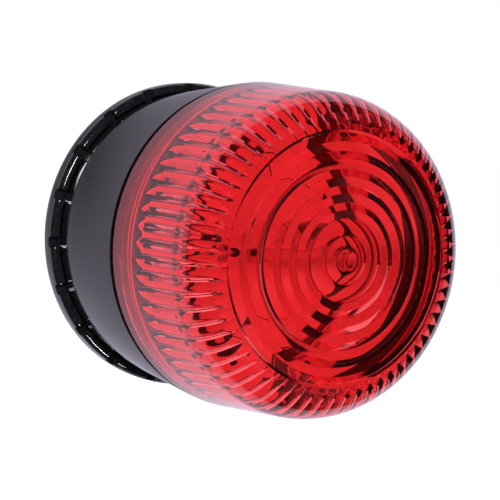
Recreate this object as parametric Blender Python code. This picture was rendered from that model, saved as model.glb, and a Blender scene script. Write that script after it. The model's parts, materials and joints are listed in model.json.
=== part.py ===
"""Wall siren with a red flash lens, about 98 mm across and 96 mm deep.

The back face lies on the plane y = 0 and the lens faces -Y, with +Z up. Every turned piece is drawn as
(radius, distance) points in millimetres, where the distance is measured out from the wall. The fixed base
holds the terminal board. The head, with the housing, the lens and the electronics, twists on the base's
lugs.
"""

import math

import bpy
import bmesh
from mathutils import Matrix, Vector

MM = 0.001
GAP = 0.3  # air between neighbouring pieces
OFF_CENTRE_START = 0.37  # share of a step by which off-centre rounds start later, off their hosts' edges

# driving dimensions, in millimetres
LENS_RADIUS = 49.0  # rear rim of the lens, the widest place
LENS_REAR = 48.4  # rear edge of the lens, from the wall
LENS_SIDE_END = 77.8  # where the straight side meets the shoulder
LENS_SIDE_END_RADIUS = 46.8
LENS_FACE = 92.7  # where the shoulder meets the shallow dome
LENS_FACE_RADIUS = 32.4
LENS_DEPTH = 96.0  # top of the dome
LENS_WALL = 2.4
LENS_SPIGOT_RADIUS = 43.0
LENS_SPIGOT_WALL = 1.7
LENS_SPIGOT_START = 44.6
LENS_FLANGE_TOP = 50.6
GASKET_OUTER = 47.6  # outer radius of the dark ring between lens and housing
GASKET_INNER = 43.4

COLLAR_RADIUS = 48.66
COLLAR_INNER = 45.9
COLLAR_SIDE = 4.7  # height of the collar's straight outer wall
COLLAR_HEIGHT = 5.8
COLLAR_TOP_RADIUS = 47.55
FLOOR = 3.0
NOTCH_COUNT = 20
NOTCH_WIDTH = 3.3
NOTCH_FLOOR = 3.2
LUG_WALL = (43.0, 44.2)  # radii of the wall inside the collar that carries the lugs
LUG_WALL_HEIGHT = 8.4
LUG_WALL_OPENING = 5.0  # from here up the wall is open between the lugs, for the sound

GASKET_GROOVE = (40.5, 43.5)
GASKET_GROOVE_DEPTH = 1.5

HOUSING_REAR = 4.6  # rear edge of the lip that stands in the groove between collar and lug wall
HOUSING_FRONT = 46.4
HOUSING_REAR_RADIUS = 45.5
HOUSING_FRONT_RADIUS = 48.85
HOUSING_WALL = 2.4
HOUSING_BORE = 45.0
GASKET_SEAT = (46.2, 44.0)  # radius and floor of the recess at the housing's front
LIP_INNER = 44.6
REAR_PLATE = (8.8, 11.0)
SKIRT_RADIUS = 40.6
SKIRT_WALL = 2.2
SKIRT_START = 3.5
PARTITION = (22.5, 24.7)
SOUND_PORT_COUNT = 8
SOUND_PORT_CIRCLE = 10.0
SOUND_PORT_RADIUS = 2.0

LUG_ANGLES = (30.0, 150.0, 270.0)
LUG_HALF_WIDTH = 8.0  # degrees
BASE_LUG = (5.8, 7.4)
HEAD_LUG = (3.8, 5.4)
LUG_CLEARANCE = 0.4
LUG_STOP_GAP = 0.7
LUG_STOP_WIDTH = 3.0  # degrees
UNLOCK_TURN = 18.0
WINDOW_FROM_LUG = (40.0, 80.0)  # degrees past each lug where skirt and lug wall are open
WINDOW = (5.6, 7.8)

TERMINAL_BOARD = (11.0, 12.6)
TERMINAL_BOARD_OUTLINE = (
    (-29.0, -13.0),
    (29.0, -13.0),
    (31.0, 6.0),
    (24.0, 26.0),
    (14.0, 33.0),
    (-14.0, 33.0),
    (-24.0, 26.0),
    (-31.0, 6.0),
)
BASE_POSTS = ((-25.0, -9.0), (25.0, -9.0), (-22.0, 20.0), (22.0, 20.0))
POST_RADIUS = 3.0
SCREW_HOLE = 1.5
SCREW_SHANK = 1.2
SCREW_HEAD = 2.6
SCREW_HEAD_HEIGHT = 1.5

CABLE_ENTRY = (0.0, -28.0)
CABLE_ENTRY_RADIUS = 8.3
CABLE_BORE = 4.0
WALL_SLOTS = ((-35.0, 0.0), (35.0, 0.0))
WALL_SLOT = (4.5, 9.4)

TAMPER = (-14.0, 12.0)
TAMPER_HOLE = 2.3
TAMPER_GUIDE = (5.6, 7.0)
TAMPER_GUIDE_TOP = 6.5

CONTACT_X = (-12.0, -4.0, 4.0, 12.0)
CONTACT_Z = 27.0

TERMINAL_COUNT = 6
TERMINAL_PITCH = 5.0
TERMINAL_Z = -5.0
TERMINAL_TOP = 20.3

DIP_CENTRE = (9.0, 10.0)
DIP_PITCH = 2.54
DIP_TRAVEL = 1.4
TRIMMER = (-8.0, 10.0)

MAIN_BOARD = (32.0, 33.6)
STROBE_BOARD = (46.5, 48.1)
STACK_RADIUS = 34.0
STACK_START = 90.0  # angle of the first of the stack's three posts

REFLECTOR_RADIUS = 28.0
REFLECTOR_FACE = (50.8, 51.8)  # its centre and its rim
HOLDER_RADII = (28.3, 30.5)
HOLDER_TOP = 52.1
HOLDER_HALF_ANGLE = 60.0
TRAY_RADII = (28.3, 39.8)
TRAY = (50.9, 51.8)
TRAY_FOOT = (37.0, 37.9)

TUBE_AXIS = 60.0
TUBE_RADIUS = 2.3
TUBE_HALF = 15.0
TUBE_CAP_END = 20.0
LEAD_X = 17.6

BLACK = (0.012, 0.012, 0.014)
RED = (0.62, 0.012, 0.018)
BOARD_GREEN = (0.02, 0.12, 0.05)
STEEL = (0.55, 0.56, 0.58)
BRASS = (0.72, 0.5, 0.2)


def clear_scene():
    for obj in list(bpy.data.objects):
        bpy.data.objects.remove(obj, do_unlink=True)


def material(name, colour, roughness, metallic=0.0):
    mat = bpy.data.materials.get(name) or bpy.data.materials.new(name)
    mat.use_nodes = True
    shader = mat.node_tree.nodes["Principled BSDF"]
    shader.inputs["Base Color"].default_value = (*colour, 1.0)
    shader.inputs["Roughness"].default_value = roughness
    shader.inputs["Metallic"].default_value = metallic
    return mat


def place(x, distance, z):
    """A point x to the right, the given distance out from the wall and z up, in metres."""
    return Vector((x * MM, -distance * MM, z * MM))


def finished(name, mesh_data, mat, smooth=True):
    """Makes one object from a bmesh, with its faces pointing out and its sharp edges marked."""
    bmesh.ops.recalc_face_normals(mesh_data, faces=mesh_data.faces)
    mesh = bpy.data.meshes.new(name)
    mesh_data.to_mesh(mesh)
    mesh_data.free()
    mesh.materials.append(mat)
    if smooth:
        mesh.shade_smooth()
        mesh.set_sharp_from_angle(angle=math.radians(30.0))
    obj = bpy.data.objects.new(name, mesh)
    bpy.context.scene.collection.objects.link(obj)
    return obj


def turned(name, profile, mat, segments=24, centre=(0.0, 0.0)):
    """Turns a closed outline of (radius, distance) points round an axis that runs out from the wall."""
    shape = bmesh.new()
    rings = []
    first = 0.0 if centre == (0.0, 0.0) else OFF_CENTRE_START
    for radius, distance in profile:
        if radius < 1e-6:
            rings.append([shape.verts.new(place(centre[0], distance, centre[1]))])
            continue
        ring = []
        for step in range(segments):
            angle = 2.0 * math.pi * (step + first) / segments
            x = centre[0] + radius * math.cos(angle)
            z = centre[1] + radius * math.sin(angle)
            ring.append(shape.verts.new(place(x, distance, z)))
        rings.append(ring)
    for near, far in zip(rings, rings[1:] + rings[:1]):
        if len(near) == 1 and len(far) == 1:
            continue
        for step in range(segments):
            after = (step + 1) % segments
            corners = [near[step % len(near)], near[after % len(near)]]
            corners += [far[after % len(far)], far[step % len(far)]]
            shape.faces.new(dict.fromkeys(corners))
    return finished(name, shape, mat)


def round_bar(name, radius, start, end, mat, centre=(0.0, 0.0), segments=24):
    """A plain cylinder that runs out from the wall."""
    profile = [(0.0, start), (radius, start), (radius, end), (0.0, end)]
    return turned(name, profile, mat, segments, centre)


def ring(name, inner, outer, start, end, mat, centre=(0.0, 0.0), segments=24):
    profile = [(inner, start), (outer, start), (outer, end), (inner, end)]
    return turned(name, profile, mat, segments, centre)


def block(name, xs, distances, zs, mat):
    """A box between two values each of x, distance from the wall and z."""
    shape = bmesh.new()
    bmesh.ops.create_cube(shape, size=1.0)
    size = Vector((xs[1] - xs[0], distances[1] - distances[0], zs[1] - zs[0])) * MM
    middle = place(sum(xs) / 2, sum(distances) / 2, sum(zs) / 2)
    stretch = Matrix.Translation(middle) @ Matrix.Diagonal((*size, 1.0))
    bmesh.ops.transform(shape, verts=shape.verts, matrix=stretch)
    return finished(name, shape, mat, smooth=False)


def slab(name, outline, start, end, mat):
    """An outline of (x, z) points drawn out from one distance to another."""
    shape = bmesh.new()
    low = [shape.verts.new(place(x, start, z)) for x, z in outline]
    high = [shape.verts.new(place(x, end, z)) for x, z in outline]
    shape.faces.new(low)
    shape.faces.new(list(reversed(high)))
    count = len(outline)
    for i in range(count):
        j = (i + 1) % count
        shape.faces.new((low[i], high[i], high[j], low[j]))
    return finished(name, shape, mat, smooth=False)


def bent_strip(name, route, half_width, thickness, x, mat):
    """A flat strip that follows (z, distance) points and is half_width wide to each side of x."""
    def normal(i):
        before = Vector(route[max(i - 1, 0)])
        after = Vector(route[min(i + 1, len(route) - 1)])
        along = (after - before).normalized()
        return Vector((-along.y, along.x)) * thickness / 2

    near = [Vector(p) + normal(i) for i, p in enumerate(route)]
    far = [Vector(p) - normal(i) for i, p in enumerate(route)]
    outline = near + far[::-1]
    shape = bmesh.new()
    left = [shape.verts.new(place(x - half_width, p.y, p.x)) for p in outline]
    right = [shape.verts.new(place(x + half_width, p.y, p.x)) for p in outline]
    count = len(outline)
    half = len(route)
    for side in (left, right):
        for i in range(half - 1):
            shape.faces.new((side[i], side[i + 1], side[count - 2 - i], side[count - 1 - i]))
    for i in range(count):
        j = (i + 1) % count
        shape.faces.new((left[i], left[j], right[j], right[i]))
    return finished(name, shape, mat, smooth=False)


def arc_block(name, radii, distances, angles, mat, steps=6):
    """A curved block between two radii, two distances and two angles in degrees."""
    shape = bmesh.new()
    sections = []
    for step in range(steps + 1):
        angle = math.radians(angles[0] + (angles[1] - angles[0]) * step / steps)
        corners = [(radii[0], distances[0]), (radii[1], distances[0])]
        corners += [(radii[1], distances[1]), (radii[0], distances[1])]
        section = []
        for radius, distance in corners:
            point = place(radius * math.cos(angle), distance, radius * math.sin(angle))
            section.append(shape.verts.new(point))
        sections.append(section)
    shape.faces.new(sections[0])
    shape.faces.new(sections[-1])
    for first, second in zip(sections, sections[1:]):
        for i in range(4):
            j = (i + 1) % 4
            shape.faces.new((first[i], first[j], second[j], second[i]))
    return finished(name, shape, mat)


def combine(target, tools, operation):
    """Cuts the tools out of the target or joins them to it, and removes them."""
    for tool in tools:
        modifier = target.modifiers.new(tool.name, "BOOLEAN")
        modifier.operation = operation
        modifier.solver = "EXACT"
        modifier.object = tool
        tool.hide_render = True
        tool.display_type = "WIRE"
        bpy.context.view_layer.update()
        evaluated = target.evaluated_get(bpy.context.evaluated_depsgraph_get())
        result = bpy.data.meshes.new_from_object(evaluated)
        target.modifiers.clear()
        target.data = result
        bpy.data.objects.remove(tool, do_unlink=True)
    return target


def cut(target, *tools):
    return combine(target, tools, "DIFFERENCE")


def join(target, *tools):
    return combine(target, tools, "UNION")


def circle_points(count, radius, first_angle=0.0):
    """Points spread evenly round a circle, as (x, z)."""
    points = []
    for i in range(count):
        angle = math.radians(first_angle) + 2.0 * math.pi * i / count
        points.append((radius * math.cos(angle), radius * math.sin(angle)))
    return points


def black_plastic():
    return material("black_plastic", BLACK, 0.22)


def dark_plastic():
    return material("dark_plastic", (0.02, 0.02, 0.022), 0.5)


def rubber():
    return material("rubber", (0.015, 0.015, 0.016), 0.8)


def board():
    return material("board", BOARD_GREEN, 0.45)


def steel():
    return material("steel", STEEL, 0.3, 1.0)


def brass():
    return material("brass", BRASS, 0.3, 1.0)


def base_outline():
    """The base's section: dished floor with the gasket's groove, collar and lug wall."""
    inner, outer = GASKET_GROOVE
    wall_inner, wall_outer = LUG_WALL
    edge = 0.4
    profile = [(0.0, 0.0), (inner, 0.0), (inner, GASKET_GROOVE_DEPTH), (outer, GASKET_GROOVE_DEPTH)]
    profile += [(outer, 0.0), (COLLAR_RADIUS - edge, 0.0), (COLLAR_RADIUS, edge)]
    profile += [(COLLAR_RADIUS, COLLAR_SIDE), (COLLAR_TOP_RADIUS, COLLAR_HEIGHT)]
    profile += [(COLLAR_INNER, COLLAR_HEIGHT), (COLLAR_INNER, FLOOR), (wall_outer, FLOOR)]
    profile += [(wall_outer, LUG_WALL_HEIGHT), (wall_inner, LUG_WALL_HEIGHT), (wall_inner, FLOOR)]
    profile.append((0.0, FLOOR))
    return profile


def base_lugs(base):
    """Adds a lug and its two stops at each lug angle and opens the wall between them."""
    plastic = black_plastic()
    lug_radii = (SKIRT_RADIUS + LUG_CLEARANCE, LUG_WALL[0] + 0.5)
    stop_distances = (FLOOR - 1.0, BASE_LUG[1] - 0.2)
    opening_radii = (LUG_WALL[0] - 1.0, LUG_WALL[1] + 1.0)
    opening_distances = (LUG_WALL_OPENING, LUG_WALL_HEIGHT + 1.0)
    for angle in LUG_ANGLES:
        low, high = angle - LUG_HALF_WIDTH, angle + LUG_HALF_WIDTH
        first_end = low - LUG_STOP_GAP
        first_stop = (first_end - LUG_STOP_WIDTH, first_end)
        last_start = high + UNLOCK_TURN + LUG_STOP_GAP
        last_stop = (last_start, last_start + LUG_STOP_WIDTH)
        join(base, arc_block("lug", lug_radii, BASE_LUG, (first_stop[0], high), plastic))
        for stop in (first_stop, last_stop):
            join(base, arc_block("stop", lug_radii, stop_distances, stop, plastic, 2))
        span = (angle + WINDOW_FROM_LUG[0], angle + WINDOW_FROM_LUG[1])
        cut(base, arc_block("opening", opening_radii, opening_distances, span, plastic, 7))


def collar_notches(base):
    """Cuts the row of square notches in the collar's front edge."""
    for x, z in circle_points(NOTCH_COUNT, COLLAR_RADIUS, 90.0):
        notch = block(
            "notch",
            (-NOTCH_WIDTH / 2, NOTCH_WIDTH / 2),
            (NOTCH_FLOOR, COLLAR_HEIGHT + 2.0),
            (COLLAR_INNER - 0.6, COLLAR_RADIUS + 2.0),
            black_plastic(),
        )
        notch.rotation_euler.y = math.pi / 2 - math.atan2(z, x)
        cut(base, notch)


def slot_outline(width, length):
    """A slot along z with round ends, as (x, z) points round its centre."""
    half_width, half_length = width / 2, length / 2
    outline = []
    for i in range(7):
        angle = math.pi * i / 6
        z = half_length - half_width + half_width * math.sin(angle)
        outline.append((half_width * math.cos(angle), z))
    return outline + [(-x, -z) for x, z in outline]


def mounting_base():
    """The dished wall base: floor, castellated collar, posts, lugs, and the openings in its floor."""
    plastic = black_plastic()
    under, over = -1.0, FLOOR + 1.0
    post_top = TERMINAL_BOARD[0] - GAP
    base = turned("mounting_base", base_outline(), plastic, segments=60)
    for centre in BASE_POSTS:
        post = round_bar("post", POST_RADIUS, FLOOR - 1.0, post_top, plastic, centre, 12)
        hole = round_bar("hole", SCREW_HOLE, FLOOR + 1.5, post_top + 1.0, plastic, centre, 8)
        cut(join(base, post), hole)
    join(base, ring("guide", *TAMPER_GUIDE, FLOOR - 1.0, TAMPER_GUIDE_TOP, plastic, TAMPER, 20))
    base_lugs(base)
    collar_notches(base)
    cut(base, round_bar("entry", CABLE_ENTRY_RADIUS, under, over, plastic, CABLE_ENTRY, 20))
    cut(base, round_bar("plunger_hole", TAMPER_HOLE, under, over, plastic, TAMPER, 14))
    for x, z in WALL_SLOTS:
        outline = [(x + px, z + pz) for px, pz in slot_outline(*WALL_SLOT)]
        cut(base, slab("slot", outline, under, over, plastic))
    return base


def rear_gasket():
    inner, outer = GASKET_GROOVE
    start, end = GAP / 2, GASKET_GROOVE_DEPTH - GAP
    return ring("rear_gasket", inner + GAP, outer - GAP, start, end, rubber(), segments=40)


def cable_grommet():
    """A rubber sleeve through the floor with a flange on the inside."""
    profile = [
        (CABLE_BORE, 0.3),
        (CABLE_ENTRY_RADIUS - GAP, 0.3),
        (CABLE_ENTRY_RADIUS - GAP, FLOOR + GAP),
        (CABLE_ENTRY_RADIUS + 1.2, FLOOR + GAP),
        (CABLE_ENTRY_RADIUS + 1.2, FLOOR + 1.5),
        (CABLE_ENTRY_RADIUS - 2.0, FLOOR + 2.6),
        (CABLE_BORE, FLOOR + 2.6),
    ]
    return turned("cable_grommet", profile, rubber(), 20, CABLE_ENTRY)


def slotted_screw(name, x, z, tip, seat):
    """A screw along the distance axis with its head on seat and a driver slot."""
    profile = [(0.0, tip), (SCREW_SHANK * 0.5, tip), (SCREW_SHANK, tip + 1.0), (SCREW_SHANK, seat)]
    profile += [(SCREW_HEAD, seat), (SCREW_HEAD, seat + SCREW_HEAD_HEIGHT * 0.6)]
    profile += [(SCREW_HEAD * 0.8, seat + SCREW_HEAD_HEIGHT), (0.0, seat + SCREW_HEAD_HEIGHT)]
    screw = turned(name, profile, steel(), 10, (x, z))
    top = seat + SCREW_HEAD_HEIGHT
    slot = block("slot", (x - 4.0, x + 4.0), (top - 0.7, top + 1.0), (z - 0.35, z + 0.35), steel())
    return cut(screw, slot)


def terminal_board():
    body = slab("terminal_board", TERMINAL_BOARD_OUTLINE, *TERMINAL_BOARD, board())
    for centre in BASE_POSTS:
        cut(body, round_bar("hole", SCREW_HOLE, 9.0, 15.0, board(), centre, 8))
    return body


def terminal_x(i):
    return (i - (TERMINAL_COUNT - 1) / 2) * TERMINAL_PITCH


def terminal_block():
    """A block with one screw well and one wire opening for each terminal."""
    green = material("terminal_plastic", (0.03, 0.2, 0.08), 0.5)
    start = TERMINAL_BOARD[1] + GAP
    half = TERMINAL_COUNT * TERMINAL_PITCH / 2 + 1.0
    zs = (TERMINAL_Z - 4.2, TERMINAL_Z + 3.8)
    body = block("terminal_block", (-half, half), (start, TERMINAL_TOP), zs, green)
    way_distances = (start + 1.0, start + 4.0)
    way_zs = (TERMINAL_Z - 7.0, TERMINAL_Z + 1.0)
    floor, over = TERMINAL_TOP - 5.0, TERMINAL_TOP + 1.7
    for i in range(TERMINAL_COUNT):
        x = terminal_x(i)
        cut(body, round_bar("well", 1.9, floor, over, green, (x, TERMINAL_Z), 10))
        cut(body, block("wire_way", (x - 1.6, x + 1.6), way_distances, way_zs, green))
    return body


def terminal_screws():
    for i in range(TERMINAL_COUNT):
        x = terminal_x(i)
        start, end = TERMINAL_TOP - 3.1, TERMINAL_TOP - 0.7
        screw = round_bar(f"terminal_screw_{i + 1}", 1.55, start, end, steel(), (x, TERMINAL_Z), 10)
        slot_zs = (TERMINAL_Z - 0.3, TERMINAL_Z + 0.3)
        cut(screw, block("slot", (x - 3.0, x + 3.0), (end - 0.6, end + 1.4), slot_zs, steel()))


def contact_springs():
    """Leaf contacts on the terminal board, one under each rivet of the head."""
    foot = TERMINAL_BOARD[1] + GAP + 0.25
    route = [(30.0, foot), (24.0, foot), (23.2, foot + 0.6), (23.8, 17.5), (25.2, 19.9)]
    route += [(27.0, 20.3), (28.8, 19.7), (29.6, 18.7)]
    for i, x in enumerate(CONTACT_X):
        bent_strip(f"contact_spring_{i + 1}", route, 1.5, 0.4, x, brass())


def tamper_switch():
    """A push switch under the terminal board, its button over the plunger."""
    x, z = TAMPER
    top = TERMINAL_BOARD[0] - GAP
    body = block("tamper_switch", (x - 3.0, x + 3.0), (7.8, top), (z - 3.0, z + 3.0), dark_plastic())
    return join(body, round_bar("button", 1.7, 7.0, 8.3, dark_plastic(), TAMPER, 12))


def tamper_plunger():
    """The plunger that a boss on the wall pushes in. Its end is flush with the base's back face."""
    profile = [(0.0, GAP / 2), (1.7, GAP / 2), (2.0, 0.5), (2.0, FLOOR + GAP), (5.2, FLOOR + GAP)]
    profile += [(5.2, 4.2), (1.6, 4.2), (1.6, 5.0), (0.0, 5.0)]
    return turned("tamper_plunger", profile, material("white_plastic", (0.75, 0.75, 0.73), 0.4), 16, TAMPER)


def tamper_spring():
    """A coil between the plunger's flange and the terminal board."""
    turns, per_turn, sides = 3.5, 12, 4
    start, end = 4.9, TERMINAL_BOARD[0] - GAP - 0.35
    coil_radius, wire = 4.7, 0.28
    shape = bmesh.new()
    sections = []
    count = int(turns * per_turn)
    for i in range(count + 1):
        share = i / count
        angle = 2.0 * math.pi * turns * share
        distance = start + (end - start) * share
        section = []
        for side in range(sides):
            around = 2.0 * math.pi * side / sides
            radius = coil_radius + wire * math.cos(around)
            x = TAMPER[0] + radius * math.cos(angle)
            z = TAMPER[1] + radius * math.sin(angle)
            section.append(shape.verts.new(place(x, distance + wire * math.sin(around), z)))
        sections.append(section)
    shape.faces.new(sections[0])
    shape.faces.new(sections[-1])
    for first, second in zip(sections, sections[1:]):
        for side in range(sides):
            after = (side + 1) % sides
            shape.faces.new((first[side], first[after], second[after], second[side]))
    return finished("tamper_spring", shape, steel())


def dip_x(i):
    return DIP_CENTRE[0] + (i - 1.5) * DIP_PITCH


def dip_switch():
    """A four-way switch for the tone: a body with four slots and a slider in each."""
    x, z = DIP_CENTRE
    start = TERMINAL_BOARD[1] + GAP
    blue = material("switch_blue", (0.02, 0.06, 0.3), 0.4)
    white = material("white_plastic", (0.75, 0.75, 0.73), 0.4)
    body = block("dip_switch_body", (x - 5.9, x + 5.9), (start, 16.8), (z - 3.3, z + 3.3), blue)
    for i in range(4):
        centre = dip_x(i)
        cut(body, block("slot", (centre - 0.8, centre + 0.8), (14.6, 18.0), (z - 1.9, z + 1.9), blue))
        rest = z - DIP_TRAVEL / 2
        xs = (centre - 0.5, centre + 0.5)
        block(f"dip_slider_{i + 1}", xs, (14.9, 17.5), (rest - 0.8, rest + 0.8), white)
    return body


def volume_trimmer():
    """A small trimmer: a square body with a round well, and a slotted rotor in it."""
    x, z = TRIMMER
    start = TERMINAL_BOARD[1] + GAP
    blue = material("switch_blue", (0.02, 0.06, 0.3), 0.4)
    white = material("white_plastic", (0.75, 0.75, 0.73), 0.4)
    body = block("volume_trimmer_body", (x - 3.5, x + 3.5), (start, 17.2), (z - 3.5, z + 3.5), blue)
    cut(body, round_bar("well", 2.8, 15.0, 19.0, blue, TRIMMER, 16))
    rotor = round_bar("volume_rotor", 2.45, 15.3, 17.8, white, TRIMMER, 16)
    cut(rotor, block("slot", (x - 2.0, x + 2.0), (17.0, 19.0), (z - 0.35, z + 0.35), white))


def housing_radius(distance):
    """The housing's outer radius, which grows evenly from its rear lip to its front."""
    share = (distance - HOUSING_REAR) / (HOUSING_FRONT - HOUSING_REAR)
    return HOUSING_REAR_RADIUS + (HOUSING_FRONT_RADIUS - HOUSING_REAR_RADIUS) * share


def housing():
    """The black head shell: skirt, lip, rear plate, partition, outer wall and the posts for the boards."""
    plastic = black_plastic()
    low, high = PARTITION
    plate_low, plate_high = REAR_PLATE
    skirt_inner = SKIRT_RADIUS - SKIRT_WALL
    profile = [(0.0, low), (housing_radius(low) - HOUSING_WALL, low)]
    profile += [(housing_radius(plate_high) - HOUSING_WALL, plate_high), (skirt_inner, plate_high)]
    profile += [(skirt_inner, SKIRT_START), (SKIRT_RADIUS, SKIRT_START), (SKIRT_RADIUS, plate_low)]
    profile += [(LIP_INNER, plate_low), (LIP_INNER, HOUSING_REAR), (HOUSING_REAR_RADIUS, HOUSING_REAR)]
    profile += [(HOUSING_FRONT_RADIUS, HOUSING_FRONT - 0.5)]
    profile += [(HOUSING_FRONT_RADIUS - 0.5, HOUSING_FRONT), (GASKET_SEAT[0], HOUSING_FRONT)]
    profile += [GASKET_SEAT, (HOUSING_BORE, GASKET_SEAT[1] - 1.5), (HOUSING_BORE, high + 1.0)]
    profile += [(HOUSING_BORE - 0.6, high), (0.0, high)]
    shell = turned("housing", profile, plastic, segments=48)
    lug_radii = (SKIRT_RADIUS - 0.6, LUG_WALL[0] - LUG_CLEARANCE)
    window_radii = (skirt_inner - 1.4, SKIRT_RADIUS + 0.9)
    for angle in LUG_ANGLES:
        lug_span = (angle - LUG_HALF_WIDTH, angle + LUG_HALF_WIDTH)
        join(shell, arc_block("lug", lug_radii, HEAD_LUG, lug_span, plastic))
        window_span = (angle + WINDOW_FROM_LUG[0], angle + WINDOW_FROM_LUG[1])
        cut(shell, arc_block("window", window_radii, WINDOW, window_span, plastic, 8))
    post_top = MAIN_BOARD[0] - GAP
    for centre in circle_points(3, STACK_RADIUS, STACK_START):
        post = round_bar("post", POST_RADIUS, high - 1.0, post_top, plastic, centre, 12)
        hole = round_bar("hole", SCREW_HOLE, high + 0.8, post_top + 1.3, plastic, centre, 8)
        cut(join(shell, post), hole)
    under, over = low - 1.0, high + 1.0
    for centre in circle_points(SOUND_PORT_COUNT, SOUND_PORT_CIRCLE):
        cut(shell, round_bar("sound_port", SOUND_PORT_RADIUS, under, over, plastic, centre, 10))
    for x in CONTACT_X:
        cut(shell, round_bar("rivet_hole", SCREW_HOLE, under, over, plastic, (x, CONTACT_Z), 8))
    return shell


def contact_rivets():
    """Rivets that carry the supply from the contact springs to the main board."""
    for i, x in enumerate(CONTACT_X):
        under = PARTITION[0] - GAP
        profile = [(0.0, under - 1.3), (2.0, under - 1.3), (2.5, under - 0.9), (2.5, under)]
        profile += [(SCREW_SHANK, under), (SCREW_SHANK, MAIN_BOARD[0] - GAP), (0.0, MAIN_BOARD[0] - GAP)]
        turned(f"contact_rivet_{i + 1}", profile, brass(), 10, (x, CONTACT_Z))


def siren():
    """The piezo siren behind the partition's sound ports: seat, metal plate, ceramic and back chamber."""
    floor = PARTITION[1] + GAP
    ring("piezo_seat", 16.0, 19.4, floor, floor + 1.4, rubber(), segments=24)
    plate = floor + 1.4 + GAP
    round_bar("piezo_plate", 19.2, plate, plate + 0.4, brass(), segments=24)
    ceramic = plate + 0.4 + GAP
    white = material("ceramic", (0.8, 0.78, 0.7), 0.5)
    round_bar("piezo_ceramic", 13.0, ceramic, ceramic + 0.3, white, segments=20)
    inner, outer = 20.0, 22.0
    lid, top = floor + 4.7, floor + 6.2
    profile = [(inner, floor), (outer, floor), (outer, top - 1.0), (outer - 1.0, top)]
    profile += [(0.0, top), (0.0, lid), (inner, lid)]
    turned("sound_chamber", profile, dark_plastic(), 28)


def boards():
    """Main board and strobe board, a stack on three spacers with long screws into the housing's posts."""
    low, high = MAIN_BOARD
    main = round_bar("main_board", 40.0, low, high, board(), segments=32)
    strobe = round_bar("strobe_board", 38.0, *STROBE_BOARD, board(), segments=32)
    white = material("white_plastic", (0.75, 0.75, 0.73), 0.4)
    for i, centre in enumerate(circle_points(3, STACK_RADIUS, STACK_START)):
        cut(main, round_bar("hole", SCREW_HOLE, low - 2.0, high + 2.0, board(), centre, 8))
        cut(strobe, round_bar("hole", SCREW_HOLE, 45.0, 50.0, board(), centre, 8))
        ring(f"board_spacer_{i + 1}", SCREW_HOLE, 2.8, high + GAP, STROBE_BOARD[0] - GAP, white, centre, 12)
        slotted_screw(f"stack_screw_{i + 1}", *centre, 26.0, STROBE_BOARD[1] + GAP)


def components():
    """The larger parts on the main board."""
    seat = MAIN_BOARD[1] + GAP
    top = STROBE_BOARD[0] - GAP
    sleeve = material("sleeve_blue", (0.02, 0.04, 0.16), 0.35)
    copper = material("copper", (0.7, 0.3, 0.12), 0.35, 1.0)
    capacitor = [(0.0, seat), (4.7, seat), (5.0, seat + 0.4)]
    capacitor += [(5.0, seat + 10.6), (4.6, seat + 11.0), (0.0, seat + 11.0)]
    turned("smoothing_capacitor", capacitor, sleeve, 16, (-19.0, 13.0))
    coil = [(0.0, seat), (7.0, seat), (7.0, seat + 1.5), (5.8, seat + 1.5), (5.8, seat + 7.5)]
    coil += [(7.0, seat + 7.5), (7.0, seat + 9.0), (0.0, seat + 9.0)]
    turned("step_up_coil", coil, copper, 16, (0.0, 14.0))
    round_bar("trigger_coil", 4.0, seat, seat + 9.0, copper, (19.0, 12.0), 14)
    block("driver_chip", (-25.0, -15.0), (seat, seat + 2.4), (-6.0, 1.0), dark_plastic())
    block("board_header", (14.0, 29.0), (seat, top), (-3.0, 2.0), dark_plastic())
    flash = round_bar("flash_capacitor", 6.0, -15.0, 15.0, sleeve, segments=18)
    turn = Matrix.Rotation(math.pi / 2, 4, "Z")
    flash.data.transform(Matrix.Translation(place(0.0, seat + 6.0, -17.0)) @ turn)


def lens_gasket():
    start, end = HOUSING_FRONT + GAP, LENS_REAR - GAP
    return ring("lens_gasket", GASKET_INNER, GASKET_OUTER, start, end, rubber(), segments=48)


def lens_outline(inset):
    """The lens surface from the straight side over the shoulder to the dome's top, moved in by inset."""
    points = []
    across = LENS_SIDE_END_RADIUS - LENS_FACE_RADIUS - inset
    along = LENS_FACE - LENS_SIDE_END - inset
    for step in range(6):
        angle = math.pi / 2 * step / 6
        radius = LENS_FACE_RADIUS + across * math.cos(angle)
        points.append((radius, LENS_SIDE_END + along * math.sin(angle)))
    rise = LENS_DEPTH - LENS_FACE
    for step in range(4):
        share = 1.0 - step / 3
        points.append((LENS_FACE_RADIUS * share, LENS_FACE - inset + rise * (1.0 - share**2)))
    return points


def lens():
    """The red lens: a plain shell with a flange at its rear and a spigot that enters the housing."""
    red = material("lens_red", RED, 0.08)
    spigot_inner = LENS_SPIGOT_RADIUS - LENS_SPIGOT_WALL
    profile = [(spigot_inner, LENS_SPIGOT_START), (LENS_SPIGOT_RADIUS, LENS_SPIGOT_START)]
    profile += [(LENS_SPIGOT_RADIUS, LENS_REAR), (LENS_RADIUS - 0.3, LENS_REAR)]
    profile.append((LENS_RADIUS, LENS_REAR + 0.3))
    profile += lens_outline(0.0)
    profile += lens_outline(LENS_WALL)[::-1]
    profile += [(LENS_RADIUS - LENS_WALL - 0.2, LENS_FLANGE_TOP), (spigot_inner, LENS_FLANGE_TOP)]
    return turned("lens", profile, red, 48)


def reflector():
    """A shallow dish behind the flash tube, with a hole for each of the tube's leads."""
    chrome = material("chrome", (0.8, 0.8, 0.82), 0.08, 1.0)
    centre, rim = REFLECTOR_FACE
    front = []
    for step in range(6):
        share = step / 5
        front.append((REFLECTOR_RADIUS * share, centre + (rim - centre) * share**2))
    back = [(radius, distance - 1.0) for radius, distance in front[::-1]]
    dish = turned("reflector", front + back, chrome, 36)
    for side in (-1.0, 1.0):
        cut(dish, round_bar("lead_hole", 1.6, centre - 3.0, rim + 3.0, chrome, (side * LEAD_X, 0.0), 10))
    return dish


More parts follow.
